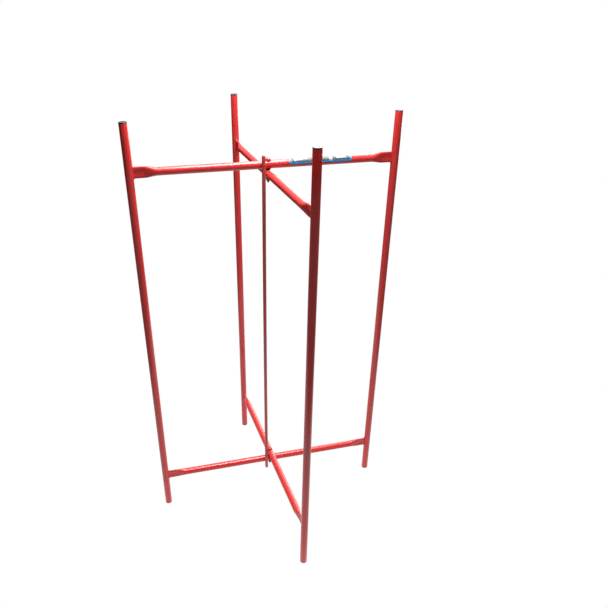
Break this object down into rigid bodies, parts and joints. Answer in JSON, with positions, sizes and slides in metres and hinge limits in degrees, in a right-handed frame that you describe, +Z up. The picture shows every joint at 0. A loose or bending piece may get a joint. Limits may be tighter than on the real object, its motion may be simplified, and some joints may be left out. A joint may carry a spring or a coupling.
{
  "type": "folding four-post stand",
  "caption": "Waist-high folding stand: two crossed tube frames on a vertical pivot line, four tall posts with plugged ends, and a tie rod beside the pivots.",
  "frame": {"origin": "on the floor, on the vertical pivot line where the two frames cross, at the centre of the four feet", "axes": "+Z up along the posts and the pivot line; X along frame A, from its left leg to its right leg; frame B's front leg is 85 degrees clockwise from +X, so near -Y"},
  "size_m": [0.589, 0.5528, 1.019],
  "materials": {
    "red_paint": "gloss enamel",
    "rod_paint": "thin satin enamel",
    "black_plastic": "moulded, semi-gloss",
    "zinc": "dull zinc plate",
    "label_film": "printed film"
  },
  "bodies": {
    "frame_a": {"leg_right": "red_paint", "leg_left": "red_paint", "cross_tube_a_upper": "red_paint", "cross_tube_a_lower": "red_paint", "tie_rod": "rod_paint", "label": "label_film", "top_plug_right": "black_plastic", "top_plug_left": "black_plastic", "foot_plug_right": "black_plastic", "foot_plug_left": "black_plastic", "pivot_bolt_upper": "red_paint", "head_washer_upper": "red_paint", "pivot_spacer_upper": "black_plastic", "nut_washer_upper": "zinc", "pivot_nut_upper": "zinc", "pivot_bolt_lower": "red_paint", "head_washer_lower": "red_paint", "pivot_spacer_lower": "black_plastic", "nut_washer_lower": "zinc", "pivot_nut_lower": "zinc"},
    "frame_b": {"leg_front": "red_paint", "leg_rear": "red_paint", "cross_tube_b_upper": "red_paint", "cross_tube_b_lower": "red_paint", "top_plug_front": "black_plastic", "top_plug_rear": "black_plastic", "foot_plug_front": "black_plastic", "foot_plug_rear": "black_plastic"}
  },
  "joints": [
    {"name": "fold", "type": "hinge", "parent": "frame_a", "child": "frame_b", "pos_m": [0, 0, 0.5], "axis": [0, 0, 1], "range_deg": [-4, 82]}
  ]
}
